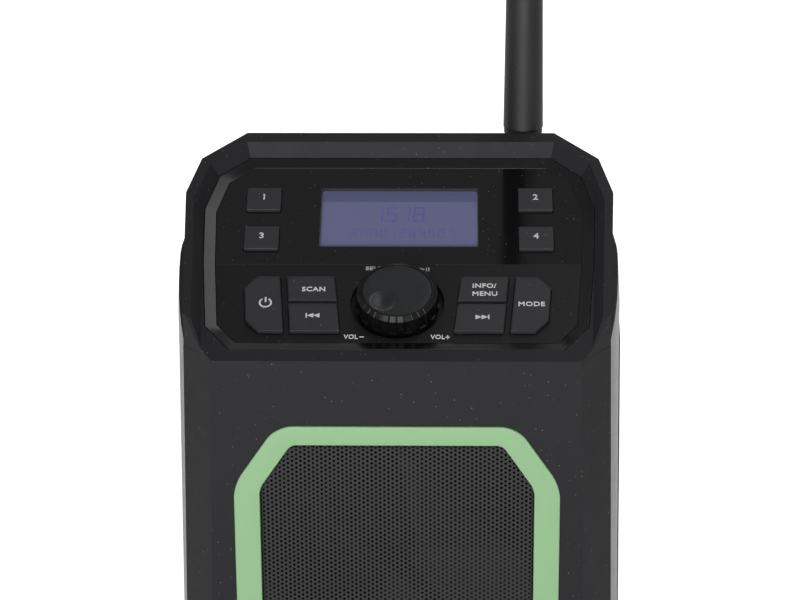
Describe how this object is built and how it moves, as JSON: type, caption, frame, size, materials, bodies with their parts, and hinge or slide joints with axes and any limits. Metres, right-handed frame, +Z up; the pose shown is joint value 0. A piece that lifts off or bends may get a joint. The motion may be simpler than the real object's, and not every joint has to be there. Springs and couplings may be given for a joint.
{
  "type": "jobsite radio",
  "caption": "Rugged portable radio with a hooded sloping control panel, rotary knob, perforated speaker grille in a trim ring and a folding antenna.",
  "frame": {"origin": "middle of the housing's width and depth, on the surface that the feet stand on", "axes": "+X to the right seen from the front, +Y to the back, +Z up, the antenna standing"},
  "size_m": [0.1934, 0.137, 0.4806],
  "materials": {
    "front_case": "moulded, fine texture",
    "middle_case": "moulded, fine texture",
    "rear_case": "moulded, fine texture",
    "soft_black": "matte",
    "gloss_black": "polished",
    "panel_matte": "satin",
    "trim_green": "satin",
    "grille_black": "powder coated",
    "screen": "polished",
    "screen_cell": "display",
    "key_black": "satin",
    "knob_black": "satin",
    "board_green": "coated laminate",
    "part_black": "moulded",
    "steel": "plain",
    "paper": "treated paper",
    "copper": "enamelled winding",
    "cell_sleeve": "printed sleeve"
  },
  "bodies": {
    "housing": {"front_shell": "front_case", "middle_housing": "middle_case", "rear_shell": "rear_case", "case_seal": "soft_black", "control_bezel": "gloss_black", "display_panel": "gloss_black", "control_plate": "panel_matte", "screen_window": "screen", "screen_module": "screen_cell", "control_board": "board_green", "key_switches": "part_black", "board_screws": "steel", "encoder_body": "part_black", "speaker_trim": "trim_green", "speaker_grille": "grille_black", "speaker_gasket": "soft_black", "speaker_basket": "steel", "speaker_cone": "paper", "dust_cap": "paper", "voice_coil": "copper", "speaker_magnet": "steel", "speaker_screws": "steel", "battery_tray": "part_black", "battery_cells": "cell_sleeve", "battery_contacts": "steel", "main_board": "board_green", "socket_board": "board_green", "power_socket": "part_black", "sound_socket": "part_black", "charge_socket": "part_black", "antenna_base": "part_black", "antenna_pin": "steel", "feet": "soft_black", "case_screws": "steel"},
    "push_switch": {"select_plunger": "part_black"},
    "knob": {"knob_grip": "knob_black", "knob_cap": "knob_black", "encoder_shaft": "steel"},
    "antenna": {"antenna_root": "part_black", "antenna_whip": "soft_black"},
    "battery_door": {"battery_door": "rear_case"},
    "port_cover": {"port_cover": "soft_black"},
    "station_key_1": {"station_key_1": "key_black"},
    "station_key_2": {"station_key_2": "key_black"},
    "station_key_3": {"station_key_3": "key_black"},
    "station_key_4": {"station_key_4": "key_black"},
    "power_key": {"power_key": "key_black"},
    "scan_key": {"scan_key": "key_black"},
    "previous_key": {"previous_key": "key_black"},
    "menu_key": {"menu_key": "key_black"},
    "next_key": {"next_key": "key_black"},
    "mode_key": {"mode_key": "key_black"}
  },
  "joints": [
    {"name": "station_key_1_press", "type": "slide", "parent": "housing", "child": "station_key_1", "axis": [0, 0.4258, -0.9048], "range_m": [0, 0.0009], "stiffness_N_per_m": 900, "springref_m": -0.0004},
    {"name": "station_key_2_press", "type": "slide", "parent": "housing", "child": "station_key_2", "axis": [0, 0.4258, -0.9048], "range_m": [0, 0.0009], "stiffness_N_per_m": 900, "springref_m": -0.0004},
    {"name": "station_key_3_press", "type": "slide", "parent": "housing", "child": "station_key_3", "axis": [0, 0.4258, -0.9048], "range_m": [0, 0.0009], "stiffness_N_per_m": 900, "springref_m": -0.0004},
    {"name": "station_key_4_press", "type": "slide", "parent": "housing", "child": "station_key_4", "axis": [0, 0.4258, -0.9048], "range_m": [0, 0.0009], "stiffness_N_per_m": 900, "springref_m": -0.0004},
    {"name": "power_key_press", "type": "slide", "parent": "housing", "child": "power_key", "axis": [0, 0.4258, -0.9048], "range_m": [0, 0.0009], "stiffness_N_per_m": 900, "springref_m": -0.0004},
    {"name": "scan_key_press", "type": "slide", "parent": "housing", "child": "scan_key", "axis": [0, 0.4258, -0.9048], "range_m": [0, 0.0009], "stiffness_N_per_m": 900, "springref_m": -0.0004},
    {"name": "previous_key_press", "type": "slide", "parent": "housing", "child": "previous_key", "axis": [0, 0.4258, -0.9048], "range_m": [0, 0.0009], "stiffness_N_per_m": 900, "springref_m": -0.0004},
    {"name": "menu_key_press", "type": "slide", "parent": "housing", "child": "menu_key", "axis": [0, 0.4258, -0.9048], "range_m": [0, 0.0009], "stiffness_N_per_m": 900, "springref_m": -0.0004},
    {"name": "next_key_press", "type": "slide", "parent": "housing", "child": "next_key", "axis": [0, 0.4258, -0.9048], "range_m": [0, 0.0009], "stiffness_N_per_m": 900, "springref_m": -0.0004},
    {"name": "mode_key_press", "type": "slide", "parent": "housing", "child": "mode_key", "axis": [0, 0.4258, -0.9048], "range_m": [0, 0.0009], "stiffness_N_per_m": 900, "springref_m": -0.0004},
    {"name": "select_push", "type": "slide", "parent": "housing", "child": "push_switch", "axis": [0, 0.4258, -0.9048], "range_m": [0, 0.0005], "stiffness_N_per_m": 5000, "springref_m": -0.0004},
    {"name": "knob_turn", "type": "hinge", "parent": "push_switch", "child": "knob", "pos_m": [0, -0.03728, 0.21492], "axis": [0, -0.4258, 0.9048], "continuous": true},
    {"name": "antenna_fold", "type": "hinge", "parent": "housing", "child": "antenna", "pos_m": [0.0535, 0.0561, 0.25], "axis": [-1, 0, 0], "range_deg": [0, 90]},
    {"name": "battery_door_swing", "type": "hinge", "parent": "housing", "child": "battery_door", "pos_m": [0, 0.066, 0.0289], "axis": [-1, 0, 0], "range_deg": [0, 90]},
    {"name": "port_cover_swing", "type": "hinge", "parent": "housing", "child": "port_cover", "pos_m": [-0.044, 0.0673, 0.1336], "axis": [-1, 0, 0], "range_deg": [0, 90]}
  ]
}
